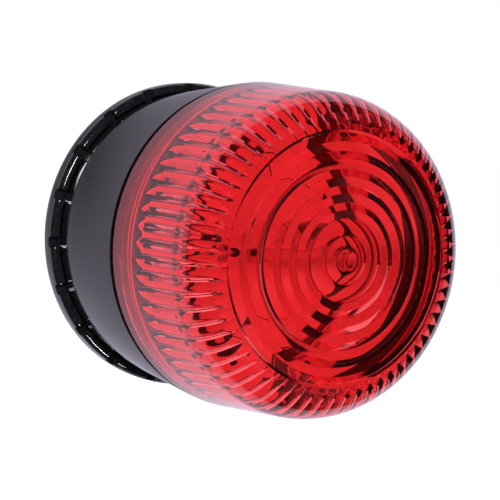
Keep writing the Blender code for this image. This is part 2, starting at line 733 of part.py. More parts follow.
def reflector_holder():
    """A black ring behind the reflector with a raised arc on the left and on the right of its rim."""
    inner, outer = HOLDER_RADII
    seat = STROBE_BOARD[1] + GAP
    holder = ring("reflector_holder", 22.0, outer, seat, seat + 1.0, dark_plastic(), segments=36)
    arc_radii = (inner, outer - 0.1)
    arc_distances = (seat + 0.5, HOLDER_TOP)
    for middle in (0.0, 180.0):
        span = (middle - HOLDER_HALF_ANGLE, middle + HOLDER_HALF_ANGLE)
        join(holder, arc_block("arc", arc_radii, arc_distances, span, dark_plastic(), 12))
    return holder


def lamp_tray():
    """A white ring on a foot, over the strobe board and open where the reflector holder's arcs stand."""
    inner, outer = TRAY_RADII
    low, high = TRAY
    white = material("white_plastic", (0.75, 0.75, 0.73), 0.4)
    foot_inner, foot_outer = TRAY_FOOT
    seat = STROBE_BOARD[1] + GAP
    profile = [(inner, low), (foot_inner, low), (foot_inner, seat), (foot_outer, seat), (foot_outer, low)]
    profile += [(outer, low), (outer, high), (inner, high)]
    tray = turned("lamp_tray", profile, white, 40)
    half_angle = HOLDER_HALF_ANGLE + 0.8
    opening_radii = (inner - 1.0, HOLDER_RADII[1] + GAP)
    for middle in (0.0, 180.0):
        span = (middle - half_angle, middle + half_angle)
        cut(tray, arc_block("opening", opening_radii, (low - 1.0, high + 1.0), span, white, 12))
    return tray


def flash_tube():
    """The xenon tube, level in front of the reflector, with a cap and a lead at each end."""
    glass = material("tube_glass", (0.85, 0.88, 0.9), 0.05)
    level = Matrix.Translation(place(0.0, TUBE_AXIS, 0.0)) @ Matrix.Rotation(math.pi / 2, 4, "Z")
    profile = [(0.0, -TUBE_HALF), (TUBE_RADIUS - 0.4, -TUBE_HALF), (TUBE_RADIUS, 0.5 - TUBE_HALF)]
    profile += [(TUBE_RADIUS, TUBE_HALF - 0.5), (TUBE_RADIUS - 0.4, TUBE_HALF), (0.0, TUBE_HALF)]
    tube = turned("xenon_tube", profile, glass, 14)
    tube.data.transform(level)
    for i, side in enumerate((-1.0, 1.0)):
        start, end = sorted((side * (TUBE_HALF + GAP), side * TUBE_CAP_END))
        cap = round_bar(f"tube_cap_{i + 1}", 2.7, start, end, steel(), segments=14)
        cap.data.transform(level)
        lead_start = STROBE_BOARD[1] + GAP
        join(cap, round_bar("lead", 0.9, lead_start, TUBE_AXIS - 1.0, steel(), (side * LEAD_X, 0.0), 8))


def set_origin(name, x, distance, z):
    """Moves an object's origin onto its joint's axis and leaves its shape where it is."""
    obj = bpy.data.objects[name]
    target = place(x, distance, z)
    obj.data.transform(Matrix.Translation(-target))
    obj.location = target


def main():
    clear_scene()
    mounting_base()
    rear_gasket()
    cable_grommet()
    terminal_board()
    for i, (x, z) in enumerate(BASE_POSTS):
        slotted_screw(f"board_screw_{i + 1}", x, z, FLOOR + 2.0, TERMINAL_BOARD[1] + GAP)
    terminal_block()
    terminal_screws()
    contact_springs()
    tamper_switch()
    tamper_plunger()
    tamper_spring()
    dip_switch()
    volume_trimmer()
    housing()
    contact_rivets()
    siren()
    boards()
    components()
    lens_gasket()
    lens()
    reflector()
    reflector_holder()
    lamp_tray()
    flash_tube()
    set_origin("tamper_plunger", TAMPER[0], FLOOR, TAMPER[1])
    set_origin("volume_rotor", TRIMMER[0], 16.0, TRIMMER[1])
    for i in range(4):
        set_origin(f"dip_slider_{i + 1}", dip_x(i), 16.0, DIP_CENTRE[1] - DIP_TRAVEL / 2)


main()
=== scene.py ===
"""The looks of the wall siren: red fluted lens, gloss black housing and castellated collar, and what shows
through the lens. Turned pieces are drawn as (radius, distance) points in millimetres, where the distance is
measured out from the wall along -Y. The frame gives the sizes that they hang from."""

import json
import math

import bpy
import bmesh
from mathutils import Matrix, Vector


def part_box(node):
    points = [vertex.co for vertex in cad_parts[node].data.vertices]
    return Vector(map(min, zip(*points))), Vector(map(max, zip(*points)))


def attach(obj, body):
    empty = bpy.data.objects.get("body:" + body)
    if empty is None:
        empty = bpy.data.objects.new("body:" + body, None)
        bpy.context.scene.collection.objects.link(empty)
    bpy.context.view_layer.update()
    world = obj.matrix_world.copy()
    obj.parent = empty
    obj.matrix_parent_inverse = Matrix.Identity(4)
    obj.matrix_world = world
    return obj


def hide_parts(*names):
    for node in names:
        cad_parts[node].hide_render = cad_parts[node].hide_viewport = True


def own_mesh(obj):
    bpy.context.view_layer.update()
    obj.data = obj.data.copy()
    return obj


MM = 0.001

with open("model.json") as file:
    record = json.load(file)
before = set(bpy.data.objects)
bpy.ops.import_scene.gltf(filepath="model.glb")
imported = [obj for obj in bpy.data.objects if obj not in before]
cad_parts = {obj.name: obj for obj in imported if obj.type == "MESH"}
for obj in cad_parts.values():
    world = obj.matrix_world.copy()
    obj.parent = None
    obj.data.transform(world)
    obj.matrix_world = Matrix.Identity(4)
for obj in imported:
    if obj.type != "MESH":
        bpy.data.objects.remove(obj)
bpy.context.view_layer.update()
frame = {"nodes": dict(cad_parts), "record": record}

# ---------- sizes, in millimetres; distances are measured out from the wall ----------

LENS_LOW, LENS_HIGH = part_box("lens")
HOUSING_LOW, HOUSING_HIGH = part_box("housing")
LENS_RADIUS = LENS_HIGH.x / MM
LENS_DEPTH = -LENS_LOW.y / MM
HOUSING_FRONT = -HOUSING_LOW.y / MM
HOUSING_FRONT_RADIUS = HOUSING_HIGH.x / MM
COLLAR_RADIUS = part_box("mounting_base")[1].x / MM
GASKET_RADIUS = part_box("lens_gasket")[1].x / MM

# the lens
LENS_REAR = 48.4
LENS_EDGE = 0.3  # bevel of its rear edge
LENS_SIDE_END = 77.8
LENS_SIDE_END_RADIUS = 46.8
LENS_FACE = 92.7
LENS_FACE_RADIUS = 32.4
LENS_WALL = 2.4
FLANGE = 50.9
FLANGE_STEP = 0.2
SPIGOT_RADII = (41.3, 43.0)
SPIGOT = (44.6, 50.6)
SIDE_STEPS = 10
SHOULDER_STEPS = 20
FACE_STEPS = 12
INNER_SHOULDER_STEPS = 22

# the ribs inside its wall, one between every two flutes
FLUTE_COUNT = 64
FLUTE_HEIGHT = 1.2
RIB_SLOPE = 1.5  # half width of a rib over its height
WIDEST_RIB = 0.46  # half width as a share of the pitch
LOWEST_RIB = 0.02
PLAIN_SHARE = 0.15  # share of the pitch where the mesh has its rib points on plain stretches
FLUTE_START = 57.6
FLUTE_RISE = 4.0  # distance in which the ribs rise from the wall
FLUTE_STEPS = 8
FLUTE_FADE = (35.5, 41.0)  # radii between which the ribs rise on the shoulder

# the fine ridges round the wall behind the flutes
RIDGE_COUNT = 4
RIDGE_PITCH = 1.7
RIDGE_WIDTH = 0.7
RIDGE_HEIGHT = 0.3
RIDGE_GAP = 0.6

# the stepped rings and the boss inside its face
RING_RADII = (35.0, 29.9, 25.1, 20.5, 15.9, 11.6, 6.7)
RING_INSET = 2.2
LONG_FACET = 0.55  # share of a ring that its long facet takes
FACET_GAP = 0.01
SHORT_SLOPE = 0.5
STEEPEST_FACET = 0.8  # radians
FACET_TRIAL = 0.002  # radians
FOCAL_LENGTH = 95.0
LENS_IOR = 1.5
SHOULDER_GAP = 0.3
BOSS_RADIUS = 2.6
BOSS = ((0.0, 3.2), (0.7, 3.0), (1.0, 2.4))  # share of its radius, and inset from the face's centre

# the housing
HOUSING_REAR = 4.6
HOUSING_REAR_RADIUS = 45.5
HOUSING_EDGE = 0.2
FRONT_ROUND = ((0.0, 0.6), (0.1, 0.25), (0.3, 0.08), (0.6, 0.0))  # steps in and back at its front edge
GASKET_SEAT = (46.2, 44.0)
BORE_RADIUS = 45.0
BORE_END = 42.5
REAR_CAVITY_RADII = (43.7, 44.4, 44.6)  # at the rear plate's front, the partition and the rear rim
SKIRT_RADIUS = 40.6
SKIRT_WALL = 2.2
SKIRT_REACH = 1.1  # how far the skirt stands out behind the rear rim
REAR_PLATE = (8.8, 11.0)
PARTITION = (22.5, 24.7)
STACK_RADIUS = 34.0
STACK_COUNT = 3
POST_RADIUS = 3.0
SCREW_HOLE_RADIUS = 1.5
POST_TOP = 31.7
POST_HOLE_FLOOR = 0.8  # above the partition
POST_HOLE_REACH = 1.3  # how far the tool that cuts it reaches past the post
SOUND_PORT_COUNT = 8
SOUND_PORT_CIRCLE = 10.0
SOUND_PORT_RADIUS = 2.0
CONTACT_X = (-12.0, -4.0, 4.0, 12.0)
CONTACT_Z = 27.0

# the twist lugs
LUG_ANGLES = (30.0, 150.0, 270.0)
LUG_HALF_WIDTH = 8.0
LUG_STOP_WIDTH = 3.0
LUG_STOP_GAP = 0.7
LUG_STOP_STEP = 0.2
UNLOCK_TURN = 18.0
BASE_LUG = (5.8, 7.4)
HEAD_LUG = (3.8, 5.4)
LUG_CLEARANCE = 0.4
LUG_ROOT = 0.5  # how far a base lug reaches into the wall that carries it
HEAD_LUG_ROOT = 0.6
WINDOW_FROM_LUG = (40.0, 80.0)
WINDOW = (5.6, 7.8)
WINDOW_REACH = (1.4, 0.9)  # how far the tool that cuts it reaches past the skirt, inside and outside
WALL_OPENING = 5.0

# the base
COLLAR_INNER = 45.9
COLLAR_SIDE = 4.7
COLLAR_TOP = 5.8
COLLAR_TOP_RADIUS = 47.55
COLLAR_ROUND = 0.32
CHAMFER_END = 0.75  # this and the next two are shares of the rounding, about the top edge
ROUND_CENTRE = 0.4
FLAT_START = 0.6
COLLAR_REAR_ROUND = ((0.4, 0.0), (0.1, 0.12), (0.0, 0.4))  # steps in and out at its rear edge
COLLAR_BREAK = ((0.0, 0.12), (0.03, 0.02))  # steps in and back where the chamfer starts
NOTCH_COUNT = 20
NOTCH_WIDTH = 3.3
NOTCH_CORNER = 0.3
NOTCH_FLOOR = 3.2
NOTCH_MARGIN = 0.1
NOTCH_SEGMENTS = 44
SEAM_RADIUS = 44.2  # where the fine collar meets the base's floor
LUG_WALL = (43.0, SEAM_RADIUS)
LUG_WALL_HEIGHT = 8.4
FLOOR = 3.0
GASKET_GROOVE = (40.5, 43.5)
GASKET_GROOVE_DEPTH = 1.5
BASE_POSTS = ((-25.0, -9.0), (25.0, -9.0), (-22.0, 20.0), (22.0, 20.0))
BASE_POST_TOP = 10.7
BASE_POST_HOLE_FLOOR = 4.5
CABLE_ENTRY = (0.0, -28.0)
CABLE_ENTRY_RADIUS = 8.3
TAMPER = (-14.0, 12.0)
TAMPER_GUIDE_RADII = (5.6, 7.0)
TAMPER_GUIDE_TOP = 6.5
TAMPER_HOLE_RADIUS = 2.3
WALL_SLOT_X = 35.0
WALL_SLOT = (4.5, 9.4)

# the lens gasket and the tamper spring
GASKET_INNER = 43.4
GASKET_GAP = 0.3
GASKET_EDGE = (0.3, 0.4)
SPRING_WIRE = 0.28  # radius
SPRING_TURNS = 3.5
SPRING_STEPS = 126
SPRING_SIDES = 8

# meshes and tools
SMOOTH_SEGMENTS = 240
FLOOR_SEGMENTS = 120
SHARP_ANGLE = 30.0
OVERLAP = 1.0  # how far a tool reaches past the surface that it cuts or joins
TOOL_TURN = 0.0413  # radians; keeps a round tool's edges off the edges of what it cuts
ARC_TURN = 0.137  # degrees, for the same reason
ARC_STEP = 1.9  # degrees

# ---------- looks, camera, light and floor; lengths in metres ----------

SLOW_SHARE = 0.23  # scale of the roughness's noise over the colour's
FINE_SHARE = 2.0  # scale of the bump's noise over the colour's
BUMP_DEPTH = 0.0001
TUBE_TINT = ((0.9, 0.92, 0.94, 1.0), (0.97, 0.98, 1.0, 1.0))
CLARITY_FADE = (-0.0575, -0.0505)  # y where the lens turns from clear to a little cloudy
CLARITY = (0.997, 0.968)
LENS_TINT = ((0.88, 0.095, 0.105, 1.0), (0.95, 0.12, 0.135, 1.0))
LENS_LIGHT_TINT = (0.97, 0.45, 0.48, 1.0)  # of the light that falls through it

CAMERA_AZIMUTH = -31.1  # degrees
CAMERA_ELEVATION = 5.95  # degrees
CAMERA_DISTANCE = 9.779  # this and the next two are in lens radii
CAMERA_ASIDE = 0.060
CAMERA_ABOVE = 0.022
CAMERA_LENS = 115.2  # millimetres
CAMERA_SENSOR = 36.0  # millimetres
CAMERA_CLIP = 0.01

# the studio's light is set by bands of the direction's y, and behind the siren by a band of its z
STUDIO_COLOUR = (0.88, 0.81, 1.0, 1.0)
FRONT_BAND, FRONT_STRENGTH = (0.155, 0.185), 0.02
BACK_BAND, SIDE_STRENGTH = (0.76, 0.92), 1.15
BEHIND_BAND, BEHIND_STRENGTH = (-0.4, 0.3), (0.85, 0.27)

KEY_TARGET = 60.0  # millimetres from the wall, as the edge lamps' target is
KEY_LAMPS = (  # name, place, size and power
    ("key_front", (0.15, -1.1, 0.45), (0.6, 0.6), 3.0),
    ("key_left", (-1.1, -0.55, 0.35), (0.5, 0.5), 28.0),
)
EDGE_TARGET = 5.0
EDGE_LAMPS = (("edge_above", (-0.351, -0.858, 0.375)), ("edge_below", (-0.11, -0.68, -0.73)))
EDGE_DISTANCE = 1.2
EDGE_SIZE = (0.45, 0.3)
EDGE_POWER = 60.0

FLOOR_LEVEL = -0.45
FLOOR_HALF = 2.5
FLOOR_GLOW = (0.4, 0.75)  # for other rays, and as the camera sees it


# ---------- meshes ----------

def between(low, high, share):
    return low + (high - low) * share


def place(x, distance, z):
    return Vector((x * MM, -distance * MM, z * MM))


def arc(centre, radii, start, end, steps):
    """Points on a part of an ellipse, between two angles in degrees."""
    points = []
    for step in range(steps + 1):
        angle = math.radians(between(start, end, step / steps))
        points.append((centre[0] + radii[0] * math.cos(angle), centre[1] + radii[1] * math.sin(angle)))
    return points


def new_object(name, shape, mat, sharp=SHARP_ANGLE):
    bmesh.ops.recalc_face_normals(shape, faces=shape.faces)
    mesh = bpy.data.meshes.new(name)
    shape.to_mesh(mesh)
    shape.free()
    mesh.shade_smooth()
    mesh.set_sharp_from_angle(angle=math.radians(sharp))
    mesh.materials.append(mat)
    obj = bpy.data.objects.new(name, mesh)
    bpy.context.scene.collection.objects.link(obj)
    return obj


def skin(shape, rings):
    """Faces between each ring of points and the next, and between the last and the first."""
    for near, far in zip(rings, rings[1:] + rings[:1]):
        count = max(len(near), len(far))
        if count == 1:
            continue
        for step in range(count):
            after = (step + 1) % count
            corners = [near[step % len(near)], near[after % len(near)]]
            corners += [far[after % len(far)], far[step % len(far)]]
            shape.faces.new(dict.fromkeys(corners))


def sweep(shape, sections):
    """Faces along a row of equal sections, with both ends closed."""
    shape.faces.new(sections[0])
    shape.faces.new(sections[-1])
    for first, second in zip(sections, sections[1:]):
        for i in range(len(first)):
            j = (i + 1) % len(first)
            shape.faces.new((first[i], first[j], second[j], second[i]))


def turned(name, profile, mat, segments=SMOOTH_SEGMENTS):
    """Turns an outline round the siren's axis. A point's distance may be a function of the angle."""
    shape = bmesh.new()
    rings = []
    for radius, distance in profile:
        if radius == 0.0:
            rings.append([shape.verts.new(place(0.0, distance, 0.0))])
            continue
        ring = []
        for step in range(segments):
            angle = 2.0 * math.pi * step / segments
            d = distance(angle) if callable(distance) else distance
            ring.append(shape.verts.new(place(radius * math.cos(angle), d, radius * math.sin(angle))))
        rings.append(ring)
    skin(shape, rings)
    return new_object(name, shape, mat)


# ---------- materials ----------

def node_material(name):
    mat = bpy.data.materials.new(name)
    mat.use_nodes = True
    tree = mat.node_tree
    return mat, tree, tree.nodes["Principled BSDF"]


def noise(tree, scale, detail, stretch=(1.0, 1.0, 1.0)):
    coords = tree.nodes.new("ShaderNodeTexCoord")
    mapping = tree.nodes.new("ShaderNodeMapping")
    mapping.inputs["Scale"].default_value = stretch
    texture = tree.nodes.new("ShaderNodeTexNoise")
    texture.inputs["Scale"].default_value = scale
    texture.inputs["Detail"].default_value = detail
    tree.links.new(coords.outputs["Object"], mapping.inputs["Vector"])
    tree.links.new(mapping.outputs["Vector"], texture.inputs["Vector"])
    return texture.outputs["Fac"]


def ramp(tree, source, low, high, first=0.35, last=0.65):
    """Maps a texture's value to colours from low to high."""
    node = tree.nodes.new("ShaderNodeValToRGB")
    node.color_ramp.elements[0].position = first
    node.color_ramp.elements[1].position = last
    node.color_ramp.elements[0].color = low
    node.color_ramp.elements[1].color = high
    tree.links.new(source, node.inputs["Fac"])
    return node.outputs["Color"]


def grey(value):
    return (value, value, value, 1.0)


def add_bump(tree, shader, height, strength):
    bump = tree.nodes.new("ShaderNodeBump")
    bump.inputs["Strength"].default_value = strength
    bump.inputs["Distance"].default_value = BUMP_DEPTH
    tree.links.new(height, bump.inputs["Height"])
    tree.links.new(bump.outputs["Normal"], shader.inputs["Normal"])


def surface(
    name, colours, roughness, scale=900.0, metallic=0.0, bump=0.0, stretch=(1.0, 1.0, 1.0), specular=0.5
):
    """A material whose colour and roughness vary between two values by noise, with an optional fine bump."""
    mat, tree, shader = node_material(name)
    low, high = colours
    cloud = noise(tree, scale, detail=5.0, stretch=stretch)
    tree.links.new(ramp(tree, cloud, (*low, 1.0), (*high, 1.0)), shader.inputs["Base Color"])
    slow = noise(tree, scale * SLOW_SHARE, detail=3.0, stretch=stretch)
    rough = ramp(tree, slow, grey(roughness[0]), grey(roughness[1]))
    tree.links.new(rough, shader.inputs["Roughness"])
    shader.inputs["Metallic"].default_value = metallic
    shader.inputs["Specular IOR Level"].default_value = specular
    if bump:
        fine = noise(tree, scale * FINE_SHARE, detail=2.0, stretch=stretch)
        add_bump(tree, shader, fine, bump)
    return mat


def mapped(tree, source, band, low, high):
    """Maps a value from a band to the range from low to high. High may be another node's output."""
    node = tree.nodes.new("ShaderNodeMapRange")
    node.inputs["From Min"].default_value = band[0]
    node.inputs["From Max"].default_value = band[1]
    node.inputs["To Min"].default_value = low
    tree.links.new(source, node.inputs["Value"])
    if isinstance(high, float):
        node.inputs["To Max"].default_value = high
    else:
        tree.links.new(high, node.inputs["To Max"])
    return node.outputs["Result"]


def split_coordinates(tree, kind):
    coords = tree.nodes.new("ShaderNodeTexCoord")
    split = tree.nodes.new("ShaderNodeSeparateXYZ")
    tree.links.new(coords.outputs[kind], split.inputs["Vector"])
    return split.outputs


def choose_by_ray(tree, ray, usual, chosen, output):
    """Gives the output one shader for rays of the named kind and the usual one for all others."""
    path = tree.nodes.new("ShaderNodeLightPath")
    mix = tree.nodes.new("ShaderNodeMixShader")
    tree.links.new(path.outputs[ray], mix.inputs["Fac"])
    tree.links.new(usual, mix.inputs[1])
    tree.links.new(chosen, mix.inputs[2])
    tree.links.new(mix.outputs["Shader"], tree.nodes[output].inputs["Surface"])


def lens_material():
    """Clear red polycarbonate, a little cloudy along its rear flange. Lamps shine through it, tinted."""
    mat, tree, shader = node_material("lens_red")
    tint = ramp(tree, noise(tree, scale=60.0, detail=3.0), *LENS_TINT)
    tree.links.new(tint, shader.inputs["Base Color"])
    clarity = mapped(tree, split_coordinates(tree, "Object")["Y"], CLARITY_FADE, *CLARITY)
    tree.links.new(clarity, shader.inputs["Transmission Weight"])
    shader.inputs["IOR"].default_value = LENS_IOR
    shader.inputs["Roughness"].default_value = 0.02
    clear = tree.nodes.new("ShaderNodeBsdfTransparent")
    clear.inputs["Color"].default_value = LENS_LIGHT_TINT
    choose_by_ray(tree, "Is Shadow Ray", shader.outputs["BSDF"], clear.outputs["BSDF"], "Material Output")
    return mat


def tube_glass_material():
    mat, tree, shader = node_material("tube_glass")
    tint = ramp(tree, noise(tree, scale=400.0, detail=3.0), *TUBE_TINT)
    tree.links.new(tint, shader.inputs["Base Color"])
    shader.inputs["Transmission Weight"].default_value = 0.9
    shader.inputs["Roughness"].default_value = 0.05
    return mat


GLOSS_BLACK = surface(
    "gloss_black", ((0.0012, 0.0011, 0.0013), (0.003, 0.0028, 0.0034)), (0.06, 0.11), scale=700.0
)
DARK = surface(
    "dark_plastic_fine", ((0.008, 0.008, 0.009), (0.02, 0.02, 0.022)), (0.4, 0.6), scale=1500.0, bump=0.3
)
RUBBER = surface(
    "black_rubber", ((0.001, 0.001, 0.001), (0.004, 0.004, 0.004)), (0.5, 0.7), scale=1800.0, bump=0.3,
    specular=0.12,
)
BOARD = surface("board_green", ((0.01, 0.07, 0.03), (0.02, 0.13, 0.05)), (0.3, 0.5), scale=500.0)
STEEL = surface("zinc_steel", ((0.5, 0.5, 0.52), (0.68, 0.68, 0.7)), (0.22, 0.4), metallic=1.0, bump=0.1)
BRASS = surface("brass_plain", ((0.62, 0.42, 0.16), (0.78, 0.56, 0.25)), (0.22, 0.4), metallic=1.0)
COPPER = surface(
    "copper_winding", ((0.5, 0.2, 0.07), (0.72, 0.33, 0.14)), (0.25, 0.4), scale=300.0, metallic=1.0,
    bump=0.6, stretch=(1.0, 12.0, 1.0),
)
TERMINAL = surface("terminal_green", ((0.02, 0.15, 0.06), (0.04, 0.23, 0.1)), (0.4, 0.55), bump=0.2)
BLUE = surface("switch_blue", ((0.015, 0.05, 0.24), (0.03, 0.08, 0.34)), (0.25, 0.4))
WHITE = surface("white_acetal", ((0.7, 0.7, 0.68), (0.82, 0.82, 0.8)), (0.35, 0.5), bump=0.1)
SLEEVE = surface("capacitor_sleeve", ((0.015, 0.03, 0.12), (0.03, 0.05, 0.2)), (0.2, 0.35), scale=500.0)
CERAMIC = surface("silvered_ceramic", ((0.72, 0.7, 0.62), (0.85, 0.83, 0.76)), (0.4, 0.6))
REFLECTOR = surface(
    "bright_reflector", ((0.86, 0.86, 0.87), (0.95, 0.95, 0.95)), (0.25, 0.4), scale=300.0, metallic=0.3
)
LENS_RED = lens_material()
TUBE_GLASS = tube_glass_material()

LOOKS = {
    "black_plastic": GLOSS_BLACK, "rubber": RUBBER, "reflector_chrome": REFLECTOR, "board_green": BOARD,
    "steel": STEEL, "terminal_plastic": TERMINAL, "brass": BRASS, "dark_plastic": DARK,
    "switch_blue": BLUE, "white_plastic": WHITE, "tube_glass": TUBE_GLASS, "sleeve_blue": SLEEVE,
    "copper": COPPER, "ceramic_white": CERAMIC, "lens_red": LENS_RED,
}


# ---------- the lens ----------

def smooth_step(value, low, high):
    share = min(1.0, max(0.0, (value - low) / (high - low)))
    return share * share * (3.0 - 2.0 * share)


def ribbed_ring(shape, radius, distance, out_radius=1.0, out_distance=0.0, height=0.0):
    """A ring of points with a V-shaped rib of the given height between every two flutes. The ribs stand
    against the outward direction given."""
    pitch = 2.0 * math.pi * radius / FLUTE_COUNT
    half = min(WIDEST_RIB, RIB_SLOPE * height / pitch) if height > LOWEST_RIB else PLAIN_SHARE
    quarter = (half + 0.5) / 2.0
    stations = ((-half, 0.0), (-half / 2.0, 0.5), (0.0, 1.0), (half / 2.0, 0.5), (half, 0.0))
    stations += ((quarter, 0.0), (0.5, 0.0), (1.0 - quarter, 0.0))
    ring = []
    for flute in range(FLUTE_COUNT):
        for share, rise in stations:
            angle = 2.0 * math.pi * (flute + share) / FLUTE_COUNT
            r = radius - out_radius * height * rise
            d = distance - out_distance * height * rise
            ring.append(shape.verts.new(place(r * math.cos(angle), d, r * math.sin(angle))))
    return ring


def dome(radius, inset=0.0):
    """The distance of the face's outside at a radius, or of a surface that lies an inset behind it."""
    rise = LENS_DEPTH - LENS_FACE
    return LENS_FACE - inset + rise * (1.0 - (radius / LENS_FACE_RADIUS) ** 2)


def wall_radius(distance):
    """The radius of the side wall's inside, which tapers towards the shoulder."""
    share = (distance - LENS_REAR) / (LENS_SIDE_END - LENS_REAR)
    return between(LENS_RADIUS, LENS_SIDE_END_RADIUS, share) - LENS_WALL


def outer_profile():
    points = [(LENS_RADIUS - LENS_EDGE, LENS_REAR)]
    for step in range(SIDE_STEPS):
        share = step / SIDE_STEPS
        radius = between(LENS_RADIUS, LENS_SIDE_END_RADIUS, share)
        points.append((radius, between(LENS_REAR + LENS_EDGE, LENS_SIDE_END, share)))
    shoulder = (LENS_SIDE_END_RADIUS - LENS_FACE_RADIUS, LENS_FACE - LENS_SIDE_END)
    points += arc((LENS_FACE_RADIUS, LENS_SIDE_END), shoulder, 0.0, 90.0, SHOULDER_STEPS)
    for step in range(1, FACE_STEPS):
        radius = LENS_FACE_RADIUS * (1.0 - step / FACE_STEPS)
        points.append((radius, dome(radius)))
    points.append((0.0, LENS_DEPTH))
    return points


def facet_slope(radius):
    """The slope of a ring's facet that bends rays along the axis towards the focus, by trial."""
    outer_tilt = math.atan(2.0 * (LENS_DEPTH - LENS_FACE) * radius / LENS_FACE_RADIUS**2)
    inside = outer_tilt - math.asin(math.sin(outer_tilt) / LENS_IOR)
    wanted = math.atan(radius / FOCAL_LENGTH)
    tilt = 0.0
    while tilt < STEEPEST_FACET:
        turned_by = math.asin(min(1.0, LENS_IOR * math.sin(tilt + inside))) - tilt
        if turned_by >= wanted:
            break
        tilt += FACET_TRIAL
    return math.tan(tilt)


def ring_points():
    """From the boss at the centre out over the stepped rings."""
    points = [(BOSS_RADIUS * share, dome(0.0, inset)) for share, inset in BOSS]
    inner = BOSS_RADIUS
    for outer in RING_RADII[::-1]:
        width = outer - inner
        long_drop = facet_slope((inner + outer) / 2) * width * LONG_FACET
        short_drop = SHORT_SLOPE * width * (1.0 - LONG_FACET)
        for share, drop in ((FACET_GAP, long_drop), (LONG_FACET, 0.0), (1.0 - FACET_GAP, short_drop)):
            radius = inner + width * share
            points.append((radius, dome(min(radius, LENS_FACE_RADIUS), RING_INSET) - drop))
        inner = outer
    return points


def inner_shoulder_points():
    """From the rings over the fluted shoulder, with the wall's outward direction and the ribs' height."""
    across = LENS_SIDE_END_RADIUS - LENS_FACE_RADIUS - LENS_WALL
    along = LENS_FACE - LENS_SIDE_END - LENS_WALL
    points = []
    for step in range(INNER_SHOULDER_STEPS, -1, -1):
        angle = math.radians(90.0 * step / INNER_SHOULDER_STEPS)
        radius = LENS_FACE_RADIUS + across * math.cos(angle)
        if radius >= RING_RADII[0] + SHOULDER_GAP:
            distance = LENS_SIDE_END + along * math.sin(angle)
            height = FLUTE_HEIGHT * smooth_step(radius, *FLUTE_FADE)
            points.append((radius, distance, math.cos(angle), math.sin(angle), height))
    return points


def inner_side_points():
    """From the shoulder back along the fluted side, over the fine ridges to the flange."""
    points = []
    for step in range(1, FLUTE_STEPS + 1):
        distance = between(LENS_SIDE_END, FLUTE_START, step / FLUTE_STEPS)
        height = FLUTE_HEIGHT * smooth_step(distance, FLUTE_START, FLUTE_START + FLUTE_RISE)
        points.append((wall_radius(distance), distance, 1.0, 0.0, height))
    for step in range(RIDGE_COUNT):
        top = FLUTE_START - RIDGE_GAP - step * RIDGE_PITCH
        for drop, rise in ((0.0, 0.0), (RIDGE_WIDTH / 2.0, RIDGE_HEIGHT), (RIDGE_WIDTH, 0.0)):
            points.append((wall_radius(top - drop) - rise, top - drop))
    points.append((LENS_RADIUS - LENS_WALL - FLANGE_STEP, FLANGE))
    return points


def build_lens():
    inner, outer = SPIGOT_RADII
    spigot = [(inner, SPIGOT[1]), (inner, SPIGOT[0]), (outer, SPIGOT[0]), (outer, LENS_REAR)]
    shape = bmesh.new()
    rings = []
    for point in outer_profile() + ring_points() + inner_shoulder_points() + inner_side_points() + spigot:
        if point[0] == 0.0:
            rings.append([shape.verts.new(place(0.0, point[1], 0.0))])
        else:
            rings.append(ribbed_ring(shape, *point))
    skin(shape, rings)
    lens = new_object("lens_body", shape, LENS_RED, sharp=35.0)
    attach(lens, "head")
    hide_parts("lens")


# ---------- tools that cut and join ----------

def round_tool(centre, radius, start, end, segments):
    shape = bmesh.new()
    middle = place(centre[0], (start + end) / 2.0, centre[1])
    turn = Matrix.Rotation(math.pi / 2, 4, "X") @ Matrix.Rotation(TOOL_TURN, 4, "Z")
    bmesh.ops.create_cone(
        shape, cap_ends=True, segments=segments, radius1=radius * MM, radius2=radius * MM,
        depth=(end - start) * MM, matrix=Matrix.Translation(middle) @ turn,
    )
    return new_object("tool", shape, GLOSS_BLACK)


def block_tool(xs, distances, zs):
    shape = bmesh.new()
    size = Vector((xs[1] - xs[0], distances[1] - distances[0], zs[1] - zs[0])) * MM
    middle = place(sum(xs) / 2, sum(distances) / 2, sum(zs) / 2)
    matrix = Matrix.Translation(middle) @ Matrix.Diagonal((*size, 1.0))
    bmesh.ops.create_cube(shape, size=1.0, matrix=matrix)
    return new_object("tool", shape, GLOSS_BLACK)


def arc_tool(radii, distances, angles):
    """A curved block between two radii, two distances and two angles in degrees, turned a little."""
    shape = bmesh.new()
    steps = max(3, round((angles[1] - angles[0]) / ARC_STEP))
    corners = [(radii[0], distances[0]), (radii[1], distances[0])]
    corners += [(radii[1], distances[1]), (radii[0], distances[1])]
    sections = []
    for step in range(steps + 1):
        angle = math.radians(ARC_TURN + between(angles[0], angles[1], step / steps))
        places = [place(r * math.cos(angle), d, r * math.sin(angle)) for r, d in corners]
        sections.append([shape.verts.new(point) for point in places])
    sweep(shape, sections)
    return new_object("tool", shape, GLOSS_BLACK)


def apply_booleans(target, steps):
    """Cuts each tool out of the target, or joins it, in turn, and removes the tools."""
    for operation, tool in steps:
        modifier = target.modifiers.new("step", "BOOLEAN")
        modifier.operation = operation
        modifier.solver = "EXACT"
        modifier.object = tool
        bpy.context.view_layer.update()
        evaluated = target.evaluated_get(bpy.context.evaluated_depsgraph_get())
        result = bpy.data.meshes.new_from_object(evaluated)
        target.modifiers.clear()
        target.data = result
        bpy.data.objects.remove(tool, do_unlink=True)
    target.data.shade_smooth()
    target.data.set_sharp_from_angle(angle=math.radians(SHARP_ANGLE))


# ---------- the housing ----------

